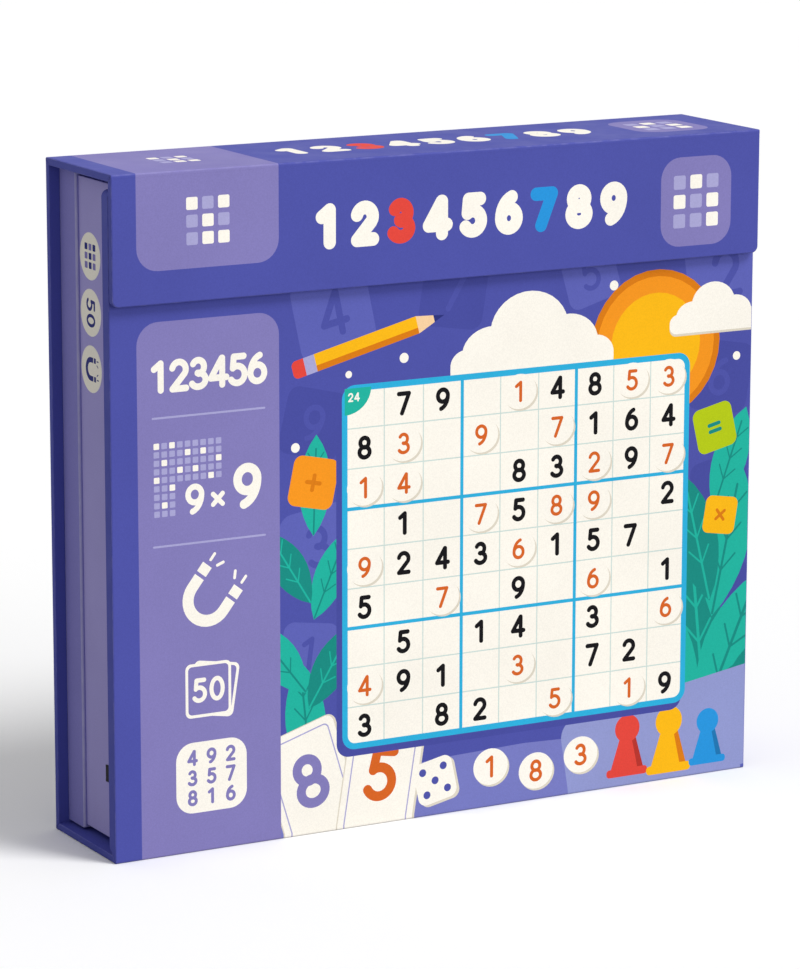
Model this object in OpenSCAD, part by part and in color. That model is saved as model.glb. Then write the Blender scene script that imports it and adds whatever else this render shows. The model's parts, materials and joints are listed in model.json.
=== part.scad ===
// Magnetic sudoku set in a book-style rigid case: five wrapped boards fold round a two-part tray.
// The back board carries the trays, the bottom spine carries the cover, and the top spine the flap.
// Upright frame: x across the front, y from the flap (minus) to the back (plus), z up from the base.

/* [Case boards] */
// Thickness of the back board, the spines and the flap, papers included
board_t = 2.6; // [2.2:0.1:4]
// Thickness of the front cover, with the steel sheet inside it
cover_t = 5; // [4:0.1:8]
// Thickness of the printed wrap paper and of the lining papers
paper_t = 0.3; // [0.15:0.05:0.4]
// Width of wrap paper turned in over the edges of a board
turn_in = 12; // [5:0.5:20]
// Length of the closing flap, down from the top edge
flap_l = 45; // [30:1:90]
// Corner radius at the free ends of the flap and the cover
corner_r = 2.5; // [1:0.1:5]
// Overhang of the boards past the base tray at each side
overhang = 4; // [1:0.5:10]

/* [Folds and gaps] */
// Cut-back of each mitred board end from its fold line
fold_gap = 0.05; // [0.03:0.01:0.2]
// Gap between the flap and the cover behind it
flap_gap = 0.3; // [0.2:0.05:1]
// Gap between the cover and the rim of the tray
rim_gap = 0.6; // [0.5:0.05:2]
// Gap between the base tray and the spines above and below it
spine_gap = 1; // [0.5:0.1:3]
// Gap between the top edge of the cover and the flap's inner corner as it swings over
cover_gap = 2; // [0.3:0.1:4]
// Air between boards that butt together and between stacked pieces
butt_gap = 0.03; // [0.02:0.01:0.1]
// Air under a round piece that lies on a board
seat_gap = 0.1; // [0.05:0.05:0.3]

/* [Trays] */
// Wall and floor thickness of the inner tray, papers included
tray_wall = 2.2; // [1.6:0.1:4]
// Wall and floor thickness of the base tray, paper included
base_wall = 1.2; // [0.8:0.1:3]
// Height of the base tray's walls
base_h = 13; // [6:0.5:24]

/* [Discs and board] */
// Diameter of a number disc
disc_d = 17; // [12:0.5:24]
// Thickness of a number disc
disc_t = 2.5; // [1.5:0.1:4]
// Bevel round both faces of a disc
disc_bevel = 0.35; // [0.1:0.05:0.6]
// Gap between discs in neighbouring cells of the grid
disc_gap = 3; // [1:0.5:8]
// Thickness of the steel sheet in the cover
steel_t = 0.4; // [0.2:0.1:0.8]
// Distance of the steel sheet from the edges of the cover
steel_inset = 10; // [6:0.5:20]
// Clearance round the steel sheet in its pocket
steel_play = 0.3; // [0.1:0.1:0.6]

/* [Closure magnets] */
// Diameter of a closure magnet
magnet_d = 12; // [6:0.5:16]
// Thickness of a closure magnet
magnet_t = 1.2; // [0.8:0.1:1.4]
// Clearance round a closure magnet in its pocket
magnet_play = 0.15; // [0.1:0.05:0.4]
// Distance of the magnets from the side edges of the boards
magnet_inset = 45; // [20:1:80]
// Distance of the magnets from the lower edge of the flap
magnet_rise = 13; // [10:0.5:16]

/* [Puzzle cards] */
// Margin of a puzzle card round its grid
card_margin = 8; // [4:0.5:20]
// Thickness of a puzzle card
card_t = 0.5; // [0.3:0.05:0.7]
// Corner radius of a puzzle card
card_r = 6; // [2:0.5:12]
// Number of puzzle cards in the deck
card_count = 50; // [20:1:80]
// Play between the deck and the boards at its left and right
card_play = 2; // [1:0.5:5]
// Room for fingers above and below the deck
finger_room = 15; // [12:0.5:30]
// Width of the gap between the guides at each end of the deck
finger_gap = 60; // [30:1:120]
// Thickness of the guides at the ends of the deck
guide_t = 2; // [1:0.1:4]
// Clearance between the deck and its guides
guide_play = 0.4; // [0.2:0.1:1]
// Thickness of the folded rules leaflet
rules_t = 0.6; // [0.3:0.1:2]
// Thickness of the folded sheet for the second game
sheet_t = 1.2; // [0.4:0.1:3]
// Spare depth above the full deck
deck_room = 5.9; // [3:0.1:12]

/* [Disc troughs] */
// Number of discs of each digit
disc_count = 9; // [9:1:12]
// Number of discs of each sign for the second game
sign_count = 8; // [4:1:9]
// Room beside a disc across its trough
disc_play = 1.5; // [0.8:0.1:5]
// Free length of a trough beside a full roll of discs
roll_room = 19.5; // [10:0.5:40]
// Thickness of the dividers between the troughs
divider_t = 1.8; // [1:0.1:3]
// Thickness of the rail between the deck and the troughs
rail_t = 2.2; // [1:0.1:4]
// Thickness of the shelf under the troughs
shelf_t = 2; // [1:0.1:4]
// Width of the ledges under the shelf
ledge_w = 6; // [3:0.5:12]
// Least height of the ledges under the shelf
ledge_min = 4; // [2:0.5:10]
// Gap between the discs on the closed board and what lies in the tray
board_clear = 2.9; // [1.5:0.1:6]

/* [Lift ribbon] */
// Width of the lift ribbon
ribbon_w = 6; // [3:0.5:12]
// Thickness of the lift ribbon
ribbon_t = 0.3; // [0.2:0.05:0.45]
// Height of the ribbon's middle above the base of the case
ribbon_z = 28; // [28:1:60]
// Length of ribbon that hangs outside the tray's wall
ribbon_tail = 11.5; // [2:0.5:20]
// Length of ribbon that lies under the deck
ribbon_run = 120; // [60:1:180]

/* [Hidden] */
$fn = 64;
grid_n = 9;
signs = ["times", "equals"];
past = 1;

// Cells that hold a disc, row by row from the top of the puzzle
placed_rows = [
    "....o..oo", ".o.o.o...", "oo....o.o",
    "...o.oo..", "o...o....", "..o...o..",
    "........o", "o...o....", ".....o.o."
];
// Orders that shuffle a regular solution without breaking its rows, columns and blocks
row_order = [0, 2, 1, 4, 3, 5, 8, 6, 7];
column_order = [1, 0, 2, 5, 4, 3, 7, 8, 6];
digit_order = [7, 2, 9, 4, 1, 6, 3, 8, 5];

// Colours
violet = "#5055A8";
violet_side = "#6C699C";
lavender = "#837CB8";
grey_board = "#A79F92";
lining = "#C9C6DC";
steel = "#9A9DA3";
cream = "#FDF8EE";
sheet_blue = "#2DAFDC";
ribbon_black = "#1B1B20";

// The board and the deck
cell = disc_d + disc_gap;
grid_s = grid_n * cell;
card_s = grid_s + 2 * card_margin;
deck_h = ribbon_t + sheet_t + rules_t + card_count * card_t;

// Inside of the inner tray
trough_n = grid_n + len(signs);
trough_l = disc_count * disc_t + roll_room;
trough_least = trough_n * (disc_d + disc_play) + (trough_n - 1) * divider_t;
deck_zone_w = card_s + 2 * card_play;
inner_w = deck_zone_w + rail_t + trough_l;
inner_h = max(card_s + 2 * finger_room, trough_least);
headroom = card_t + disc_t + board_clear - rim_gap;
stock_h = max(deck_h + deck_room, disc_d + seat_gap + shelf_t + ledge_min);
tray_depth = stock_h + headroom;

// Trays and case across and up
tray_w = inner_w + 2 * tray_wall;
tray_h = inner_h + 2 * tray_wall;
base_tray_w = tray_w + 2 * base_wall;
base_tray_h = tray_h + 2 * base_wall;
case_w = base_tray_w + 2 * overhang;
case_h = base_tray_h + 2 * spine_gap + 2 * board_t;
middle = case_h / 2;

// Levels above the back face, with the case lying on its back
base_at = board_t;
tray_at = base_at + base_wall;
floor_at = tray_at + tray_wall;
rim_at = floor_at + tray_depth;
cover_in_at = rim_at + rim_gap;
cover_out_at = cover_in_at + cover_t;
case_d = cover_out_at + flap_gap + board_t;

// Cover layers, from its outer face inwards
flap_swing = norm([board_t, board_t + fold_gap]);
cover_l = case_h - flap_swing - cover_gap;
cover_core_t = (cover_t - 2 * paper_t + steel_t) / 2;
cover_seam = paper_t + cover_core_t;
board_middle = (cover_l + cover_t) / 2;
magnet_x = case_w / 2 - magnet_inset;
magnet_u = flap_l - magnet_rise;

// Deck and troughs, from the middle of the case
deck_x = -inner_w / 2 + deck_zone_w / 2;
rail_x = -inner_w / 2 + deck_zone_w;
trough_x = rail_x + rail_t;
trough_pitch = (inner_h + divider_t) / trough_n;
trough_room = trough_pitch - divider_t;
shelf_h = tray_depth - headroom - disc_d - seat_gap;
divider_h = disc_d - seat_gap;
guide_l = (deck_zone_w - finger_gap) / 2;
guide_y = card_s / 2 + guide_play;

// Digit in a cell of the solved puzzle, with rows counted from the top and columns from the left
function row_shift(r) = grid_n / 3 * (row_order[r] % 3) + floor(row_order[r] / 3);
function cell_digit(r, c) = digit_order[(row_shift(r) + column_order[c]) % grid_n];
function holds_disc(r, c) = placed_rows[r][c] == "o";
function placed_cells(digit) =
    [for (r = [0 : grid_n - 1], c = [0 : grid_n - 1]) if (holds_disc(r, c) && cell_digit(r, c) == digit) [r, c]];

// Lower edge of a trough, counted from the top of the tray
function trough_y(i) = middle + inner_h / 2 - (i + 1) * trough_pitch + divider_t;

// Stands the case up from lying on its back
module upright() {
    translate([0, case_d / 2, 0])
        rotate([90, 0, 0])
            children();
}

// Places for the five boards, each drawn flat with its outer face down and its length along y
module at_back() {
    upright()
        children();
}

module at_bottom_spine() {
    upright()
        translate([0, 0, cover_out_at])
            rotate([-90, 0, 0])
                children();
}

module at_top_spine() {
    upright()
        translate([0, case_h, 0])
            rotate([90, 0, 0])
                children();
}

module at_cover() {
    upright()
        translate([0, 0, cover_out_at])
            rotate([0, 180, 0])
                children();
}

module at_flap() {
    upright()
        translate([0, case_h, case_d])
            rotate([180, 0, 0])
                children();
}

// Box of a given width and height centred on a point, between two levels
module block(w, h, low, high, x = 0, y = middle) {
    translate([x - w / 2, y - h / 2, low])
        cube([w, h, high - low]);
}

// Rectangle from y = 0 to y = l whose far corners are rounded
module round_ended(w, l, r) {
    translate([-w / 2, 0])
        square([w, l - r]);
    translate([-w / 2 + r, 0])
        square([w - 2 * r, l]);
    for (side = [-1, 1])
        translate([side * (w / 2 - r), l - r])
            circle(r);
}

// Square plate centred on a point with rounded corners
module round_plate(s, r, t) {
    linear_extrude(t) {
        square([s, s - 2 * r], center = true);
        square([s - 2 * r, s], center = true);
        for (x = [-1, 1], y = [-1, 1])
            translate([x * (s / 2 - r), y * (s / 2 - r)])
                circle(r);
    }
}

// Layer of a board between two levels, mitred at its start and at its end if closed there
module board_layer(l, low, high, inset = 0, free_end = false, reach = 0) {
    start_low = low + fold_gap - reach;
    start_high = high + fold_gap - reach;
    end_low = free_end ? l - inset : l - low - fold_gap + reach;
    end_high = free_end ? l - inset : l - high - fold_gap + reach;
    rotate([90, 0, 90])
        linear_extrude(case_w - 2 * inset, center = true)
            polygon([[start_low, low], [end_low, low], [end_high, high], [start_high, high]]);
}

// The same layer, with rounded corners at a free end
module board_sheet(l, low, high, inset = 0, free_end = false) {
    if (free_end) {
        intersection() {
            board_layer(l, low, high, inset, true);
            translate([0, 0, low])
                linear_extrude(high - low)
                    round_ended(case_w - 2 * inset, l - inset, max(corner_r - inset, paper_t));
        }
    } else {
        board_layer(l, low, high, inset);
    }
}

// Room inside a wrap for its boards and for the lining between the turn-ins
module wrap_room(l, t, free_end) {
    core_r = max(corner_r - paper_t, paper_t);
    if (free_end) {
        intersection() {
            board_layer(l, paper_t, t - paper_t, paper_t, true, past);
            translate([0, -past, paper_t])
                linear_extrude(t - 2 * paper_t)
                    round_ended(case_w - 2 * paper_t, l - paper_t + past, core_r);
        }
    } else {
        board_layer(l, paper_t, t - paper_t, paper_t, false, past);
    }
    board_layer(l, t / 2, t + past, turn_in, free_end, past);
}

// Printed paper round a board: outer face, side edges, free end and turn-ins
module board_wrap(l, t, free_end = false) {
    difference() {
        board_sheet(l, 0, t, 0, free_end);
        wrap_room(l, t, free_end);
    }
}

module board_core(l, t, free_end = false) {
    board_sheet(l, paper_t, t - paper_t, paper_t, free_end);
}

module board_liner(l, t, free_end = false) {
    board_layer(l, t - paper_t, t, turn_in, free_end);
}

// A pair of magnets, or of their pockets, in a board of a given length
module magnet_pair(u, low, high, play = 0) {
    for (side = [-1, 1])
        translate([side * magnet_x, u, low])
            cylinder(d = magnet_d + 2 * play, h = high - low);
}

// Four boards that stand round a tray, the long pair between the ends of the short pair
module tray_walls(w, h, t, low, high) {
    for (side = [-1, 1]) {
        block(t, h - 2 * t - 2 * butt_gap, low, high, side * (w - t) / 2);
        block(w, t, low, high, 0, middle + side * (h - t) / 2);
    }
}

// Disc with bevelled rims, lying flat
module disc() {
    r = disc_d / 2;
    rotate_extrude()
        polygon([
            [0, 0], [r - disc_bevel, 0], [r, disc_bevel],
            [r, disc_t - disc_bevel], [r - disc_bevel, disc_t], [0, disc_t]
        ]);
}

// Roll of discs on edge in a trough, pushed against the tray's side
module disc_roll(i, count) {
    for (k = [1 : count])
        translate([
            inner_w / 2 - k * (disc_t + butt_gap),
            trough_y(i) + disc_d / 2 + seat_gap,
            floor_at + shelf_h + seat_gap + disc_d / 2
        ])
            rotate([0, 90, 0])
                disc();
}

// Bottom spine
module bottom_spine_core() {
    color(grey_board)
        at_bottom_spine()
            board_core(cover_out_at, board_t);
}

module bottom_spine_wrap() {
    color(violet)
        at_bottom_spine()
            board_wrap(cover_out_at, board_t);
}

module bottom_spine_liner() {
    color(lining)
        at_bottom_spine()
            board_liner(cover_out_at, board_t);
}

// Back board
module back_core() {
    color(grey_board)
        at_back()
            board_core(case_h, board_t);
}

module back_wrap() {
    color(violet)
        at_back()
            board_wrap(case_h, board_t);
}

module back_liner() {
    color(lining)
        at_back()
            board_liner(case_h, board_t);
}

// Base tray, a shallow tray glued to the back board
module base_tray_floor() {
    board = base_wall - paper_t;
    color(grey_board)
        upright()
            block(
                base_tray_w - 2 * (paper_t + board + butt_gap), base_tray_h - 2 * (paper_t + board + butt_gap),
                base_at, tray_at
            );
}

module base_tray_walls() {
    color(grey_board)
        upright()
            tray_walls(
                base_tray_w - 2 * paper_t, base_tray_h - 2 * paper_t,
                base_wall - paper_t, base_at, base_at + base_h - paper_t
            );
}

module base_tray_wrap() {
    color(violet_side)
        upright()
            difference() {
                block(base_tray_w, base_tray_h, base_at, base_at + base_h);
                block(
                    base_tray_w - 2 * paper_t, base_tray_h - 2 * paper_t,
                    base_at - past, base_at + base_h - paper_t
                );
                block(tray_w, tray_h, base_at, base_at + base_h + past);
            }
}

// Inner tray, which stands in the base tray up to the cover
module inner_tray_floor() {
    board = tray_wall - 2 * paper_t;
    color(grey_board)
        upright()
            block(
                tray_w - 2 * (paper_t + board + butt_gap), tray_h - 2 * (paper_t + board + butt_gap),
                tray_at, floor_at - paper_t
            );
}

module inner_tray_walls() {
    color(grey_board)
        upright()
            tray_walls(
                tray_w - 2 * paper_t, tray_h - 2 * paper_t,
                tray_wall - 2 * paper_t, tray_at, rim_at - paper_t
            );
}

module inner_tray_wrap() {
    leaf_low = floor_at - paper_t;
    color(violet_side)
        upright() {
            difference() {
                block(tray_w, tray_h, tray_at, rim_at);
                block(tray_w - 2 * paper_t, tray_h - 2 * paper_t, tray_at - past, rim_at - paper_t);
                block(inner_w, inner_h, tray_at, rim_at + past);
            }
            difference() {
                block(inner_w + 2 * paper_t, inner_h + 2 * paper_t, leaf_low, rim_at);
                block(inner_w, inner_h, leaf_low - past, rim_at + past);
            }
        }
}

module inner_tray_lining() {
    color(lining)
        upright()
            block(inner_w, inner_h, floor_at - paper_t, floor_at);
}

// Rail between the deck and the troughs
module disc_rail() {
    color(violet)
        upright()
            block(rail_t, inner_h, floor_at, floor_at + shelf_h + divider_h, rail_x + rail_t / 2);
}

module trough_dividers() {
    color(violet)
        upright()
            for (i = [0 : trough_n - 2])
                block(
                    trough_l, divider_t, floor_at + shelf_h, floor_at + shelf_h + divider_h,
                    trough_x + trough_l / 2, trough_y(i) - divider_t / 2
                );
}

module disc_shelf() {
    color(violet)
        upright()
            block(trough_l, inner_h, floor_at + shelf_h - shelf_t, floor_at + shelf_h, trough_x + trough_l / 2);
}

module shelf_ledges() {
    color(grey_board)
        upright()
            for (x = [trough_x + ledge_w / 2, trough_x + trough_l - ledge_w / 2])
                block(ledge_w, inner_h, floor_at, floor_at + shelf_h - shelf_t, x);
}

// Four guide boards at the corners of the deck, with finger gaps between them
module card_guides() {
    color(violet)
        upright()
            for (end = [-1, 1], side = [-1, 1])
                block(
                    guide_l, guide_t, floor_at, floor_at + deck_h,
                    deck_x + side * (deck_zone_w - guide_l) / 2, middle + end * (guide_y + guide_t / 2)
                );
}

// Flat goods in the deck, from the floor up
module deck_sheet(low, t) {
    translate([deck_x, middle, floor_at + low])
        round_plate(card_s, card_r, t - butt_gap);
}

module second_game_sheet() {
    color(sheet_blue)
        upright()
            deck_sheet(ribbon_t, sheet_t);
}

module rules_leaflet() {
    color(lavender)
        upright()
            deck_sheet(ribbon_t + sheet_t, rules_t);
}

module puzzle_cards() {
    color(cream)
        upright()
            for (k = [0 : card_count - 1])
                deck_sheet(ribbon_t + sheet_t + rules_t + k * card_t, card_t);
}

// Ribbon under the deck, up the left wall, over the rim and down outside
module lift_ribbon() {
    wall_in = -inner_w / 2;
    wall_out = -tray_w / 2;
    color(ribbon_black)
        upright()
            translate([0, ribbon_z + ribbon_w / 2, 0])
                rotate([90, 0, 0])
                    linear_extrude(ribbon_w)
                        polygon([
                            [wall_in, floor_at], [wall_in + ribbon_run, floor_at],
                            [wall_in + ribbon_run, floor_at + ribbon_t], [wall_in + ribbon_t, floor_at + ribbon_t],
                            [wall_in + ribbon_t, rim_at + ribbon_t], [wall_out - ribbon_t, rim_at + ribbon_t],
                            [wall_out - ribbon_t, rim_at - ribbon_tail], [wall_out, rim_at - ribbon_tail],
                            [wall_out, rim_at], [wall_in, rim_at]
                        ]);
}

// Discs kept in the tray: what is left of each digit, then the signs
module number_discs(digit) {
    color(cream)
        upright()
            disc_roll(digit - 1, disc_count - len(placed_cells(digit)));
}

module sign_discs(s) {
    color(cream)
        upright()
            disc_roll(grid_n + s, sign_count);
}

// Front cover, a board with a steel sheet inside that the discs cling to
module steel_room(play, high) {
    w = case_w - 2 * steel_inset;
    l = cover_l - cover_t - 2 * steel_inset;
    block(w + 2 * play, l + 2 * play, cover_seam - steel_t, high, 0, board_middle);
}

module cover_core() {
    color(grey_board)
        at_cover()
            difference() {
                board_sheet(cover_l, paper_t, cover_seam, paper_t, true);
                steel_room(steel_play, cover_seam + past);
                magnet_pair(case_h - magnet_u, paper_t - past, paper_t + magnet_t, magnet_play);
            }
}

module steel_sheet() {
    color(steel)
        at_cover()
            steel_room(0, cover_seam);
}

module cover_magnets() {
    color(steel)
        at_cover()
            magnet_pair(case_h - magnet_u, paper_t, paper_t + magnet_t);
}

module cover_backing() {
    color(grey_board)
        at_cover()
            board_sheet(cover_l, cover_seam, cover_t - paper_t, paper_t, true);
}

module cover_wrap() {
    color(violet)
        at_cover()
            board_wrap(cover_l, cover_t, true);
}

module play_sheet() {
    color(lavender)
        at_cover()
            board_liner(cover_l, cover_t, true);
}

// Puzzle in play on the inside of the cover, its top towards the fold
module board_card() {
    color(cream)
        at_cover()
            translate([0, board_middle, cover_t])
                round_plate(card_s, card_r, card_t);
}

module board_discs() {
    color(cream)
        at_cover()
            for (r = [0 : grid_n - 1], c = [0 : grid_n - 1])
                if (holds_disc(r, c))
                    translate([
                        (grid_n / 2 - c - 0.5) * cell, board_middle + (r + 0.5 - grid_n / 2) * cell, cover_t + card_t
                    ])
                        disc();
}

// Top spine
module top_spine_core() {
    color(grey_board)
        at_top_spine()
            board_core(case_d, board_t);
}

module top_spine_wrap() {
    color(violet)
        at_top_spine()
            board_wrap(case_d, board_t);
}

module top_spine_liner() {
    color(lining)
        at_top_spine()
            board_liner(case_d, board_t);
}

// Flap, which closes over the cover
module flap_core() {
    color(grey_board)
        at_flap()
            difference() {
                board_core(flap_l, board_t, true);
                magnet_pair(magnet_u, board_t - paper_t - magnet_t, board_t, magnet_play);
            }
}

module flap_magnets() {
    color(steel)
        at_flap()
            magnet_pair(magnet_u, board_t - paper_t - magnet_t, board_t - paper_t);
}

module flap_wrap() {
    color(violet)
        at_flap()
            board_wrap(flap_l, board_t, true);
}

module flap_liner() {
    color(lining)
        at_flap()
            board_liner(flap_l, board_t, true);
}

bottom_spine_core();
bottom_spine_wrap();
bottom_spine_liner();
back_core();
back_wrap();
back_liner();
base_tray_floor();
base_tray_walls();
base_tray_wrap();
inner_tray_floor();
inner_tray_walls();
inner_tray_wrap();
inner_tray_lining();
disc_rail();
trough_dividers();
disc_shelf();
shelf_ledges();
card_guides();
puzzle_cards();
rules_leaflet();
second_game_sheet();
lift_ribbon();
for (k = [1 : grid_n]) number_discs(k);
for (s = [0 : len(signs) - 1]) sign_discs(s);
cover_core();
cover_wrap();
cover_backing();
steel_sheet();
play_sheet();
cover_magnets();
board_card();
board_discs();
top_spine_core();
top_spine_wrap();
top_spine_liner();
flap_core();
flap_wrap();
flap_liner();
flap_magnets();
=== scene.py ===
"""Looks of the sudoku case: printed paper, cards, discs and a studio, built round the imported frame."""
import json
import math
from functools import reduce

import bmesh
import bpy
from mathutils import Matrix, Vector
from mathutils.geometry import delaunay_2d_cdt
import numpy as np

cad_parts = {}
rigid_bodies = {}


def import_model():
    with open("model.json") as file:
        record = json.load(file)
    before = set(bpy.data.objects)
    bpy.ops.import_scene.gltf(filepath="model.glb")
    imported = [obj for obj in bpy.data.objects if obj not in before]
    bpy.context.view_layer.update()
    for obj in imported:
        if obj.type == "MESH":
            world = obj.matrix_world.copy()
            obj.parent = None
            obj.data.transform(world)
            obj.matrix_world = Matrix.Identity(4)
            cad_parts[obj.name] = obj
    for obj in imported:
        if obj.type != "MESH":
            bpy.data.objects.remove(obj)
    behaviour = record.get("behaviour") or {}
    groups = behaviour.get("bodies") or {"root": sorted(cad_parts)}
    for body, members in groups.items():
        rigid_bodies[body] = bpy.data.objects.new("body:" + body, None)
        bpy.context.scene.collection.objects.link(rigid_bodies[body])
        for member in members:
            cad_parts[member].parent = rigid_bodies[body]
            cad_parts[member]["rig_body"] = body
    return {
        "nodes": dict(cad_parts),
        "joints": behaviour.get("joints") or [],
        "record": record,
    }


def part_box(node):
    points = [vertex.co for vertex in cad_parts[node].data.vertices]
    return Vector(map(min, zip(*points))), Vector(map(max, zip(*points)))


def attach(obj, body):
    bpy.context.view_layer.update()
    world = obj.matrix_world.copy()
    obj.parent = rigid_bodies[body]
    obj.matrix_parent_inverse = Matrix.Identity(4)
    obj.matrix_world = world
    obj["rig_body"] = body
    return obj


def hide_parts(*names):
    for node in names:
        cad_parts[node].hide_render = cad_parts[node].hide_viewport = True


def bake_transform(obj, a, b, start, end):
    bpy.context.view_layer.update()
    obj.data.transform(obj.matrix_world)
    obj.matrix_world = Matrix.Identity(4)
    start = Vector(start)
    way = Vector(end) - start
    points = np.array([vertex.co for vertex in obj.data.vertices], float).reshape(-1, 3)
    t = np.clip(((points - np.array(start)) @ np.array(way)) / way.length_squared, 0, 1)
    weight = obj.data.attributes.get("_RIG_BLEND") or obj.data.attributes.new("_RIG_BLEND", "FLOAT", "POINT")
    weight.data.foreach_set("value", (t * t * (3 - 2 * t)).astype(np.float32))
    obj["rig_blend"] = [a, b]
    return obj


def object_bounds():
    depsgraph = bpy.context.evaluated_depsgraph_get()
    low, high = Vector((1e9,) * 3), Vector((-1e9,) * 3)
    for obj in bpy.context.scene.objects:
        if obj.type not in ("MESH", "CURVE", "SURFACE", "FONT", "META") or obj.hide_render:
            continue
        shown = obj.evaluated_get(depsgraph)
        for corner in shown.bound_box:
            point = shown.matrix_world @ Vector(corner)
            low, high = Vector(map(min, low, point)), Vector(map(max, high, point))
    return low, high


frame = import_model()
cad_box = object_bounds()
scene = bpy.context.scene
slots = {subpart["node"]: subpart["material_slot"] for subpart in frame["record"]["subparts"]}

MM = 0.001
X, Y, Z = Vector((1, 0, 0)), Vector((0, 1, 0)), Vector((0, 0, 1))
FOLDS = {joint["name"]: Vector(joint["pos_m"]) for joint in frame["joints"]}
CASE_W = (cad_box[1].x - cad_box[0].x) / MM

# Print and paper, in millimetres
SHEET_T = 0.06
SHEET_DEPTH = 0.02
EDGE_R = 0.28
EDGE_MARGIN = 0.35
FOLD_MARGIN = 1.4
FOLD_R = 0.6
MITRE_CUT = 0.5
CORNER_R = 2.5
LABEL_T = 0.03
MERGE = 0.002
NEAR = 0.01
FACE_NEAR = 0.2
PLANE_NEAR = 0.0001
BAND_MIN = 0.1
RIM_STEP = 0.05

# Rounding of solids: angles in degrees, and the least width of a face beside a rounded edge, in radii
FLAT_ANGLE = 0.4
SHARP_ANGLE = 40
FACE_RADII = 2.2
EDGE_SEGMENTS = 3
RIM_SEGMENTS = 5
FOLD_SEGMENTS = 6


# Colours
def srgb(code):
    """Linear colour from a six-digit sRGB code."""
    parts = [int(code[i:i + 2], 16) / 255 for i in (0, 2, 4)]
    return tuple(p / 12.92 if p <= 0.04045 else ((p + 0.055) / 1.055) ** 2.4 for p in parts) + (1.0,)


VIOLET = srgb("4D52A5")
DEEP = srgb("474C9D")
HAZE = srgb("5D62B4")
LAVENDER = srgb("837CB8")
LILAC = srgb("767ABF")
MIST = srgb("A9A6D3")
NAVY = srgb("2C3178")
CREAM = srgb("FCF7EC")
SHADE = srgb("DDD5C4")
BLUE = srgb("2DAFDC")
CELL_LINE = srgb("CBDCD6")
BLACK = srgb("0D0C10")
PALE_LILAC = srgb("9198CD")
RUST = srgb("D66423")
TEAL = srgb("20B29E")
PINE = srgb("178A80")
YELLOW = srgb("FAB914")
LIME = srgb("B4C814")
ORANGE = srgb("F5961E")
AMBER = srgb("D97B12")
PEACH = srgb("F6CFA0")
RED = srgb("E2473C")
SKY = srgb("2793DA")
BRICK = srgb("B5342C")
OCEAN = srgb("1F74AE")
DISC_FACE = srgb("F9F3E7")
MARK_FACE = srgb("F4EFE2")
# Pale worn tone of the paper; on the base tray's rim it is a painted highlight
WORN_AND_HIGHLIGHT = srgb("B9B6D6")
WHITE = srgb("FFFFFF")


# Outlines, as lists of points in millimetres
ARC_STEP = 11


def arc(cx, cy, rx, ry, start, end):
    """Points on an ellipse from one angle to another, in degrees."""
    steps = max(3, round(abs(end - start) / ARC_STEP))
    angles = [math.radians(start + (end - start) * i / steps) for i in range(steps + 1)]
    return [(cx + rx * math.cos(a), cy + ry * math.sin(a)) for a in angles]


def ellipse(cx, cy, rx, ry=None):
    return arc(cx, cy, rx, ry or rx, 0, 360)[:-1]


def rect(x0, y0, x1, y1):
    return [(x0, y0), (x1, y0), (x1, y1), (x0, y1)]


def round_rect(x0, y0, x1, y1, low_r, high_r=None):
    """Rectangle with one radius at its lower corners and one at its upper corners, or sharp ones for 0."""
    high_r = low_r if high_r is None else high_r
    points = []
    corners = ((x1, y0, low_r, 270), (x1, y1, high_r, 0), (x0, y1, high_r, 90), (x0, y0, low_r, 180))
    for x, y, r, start in corners:
        cx = x - r if x == x1 else x + r
        cy = y - r if y == y1 else y + r
        points += arc(cx, cy, r, r, start, start + 90) if r else [(x, y)]
    return points


def with_sides(points):
    """The points of a line, each with the direction to its left."""
    line = [Vector(p) for p in points]
    ways = [after - before for before, after in zip(line[:1] + line, line[1:] + line[-1:])]
    return [(point, Vector((-way.y, way.x)).normalized()) for point, way in zip(line, ways)]


def stroke(points, width):
    """Outline of a line through the points, of even width and with round ends."""
    half = width / 2
    line = with_sides(points)
    left = [tuple(point + side * half) for point, side in line]
    right = [tuple(point - side * half) for point, side in line]
    caps = []
    for (tip, _), (before, _) in ((line[-1], line[-2]), (line[0], line[1])):
        way = math.degrees(math.atan2(tip.y - before.y, tip.x - before.x))
        caps.append(arc(tip.x, tip.y, half, half, way + 90, way - 90)[1:-1])
    return left + caps[0] + right[::-1] + caps[1]


def counter_clockwise(points):
    area = sum(a[0] * b[1] - b[0] * a[1] for a, b in zip(points, points[1:] + points[:1]))
    return points if area > 0 else points[::-1]


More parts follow.
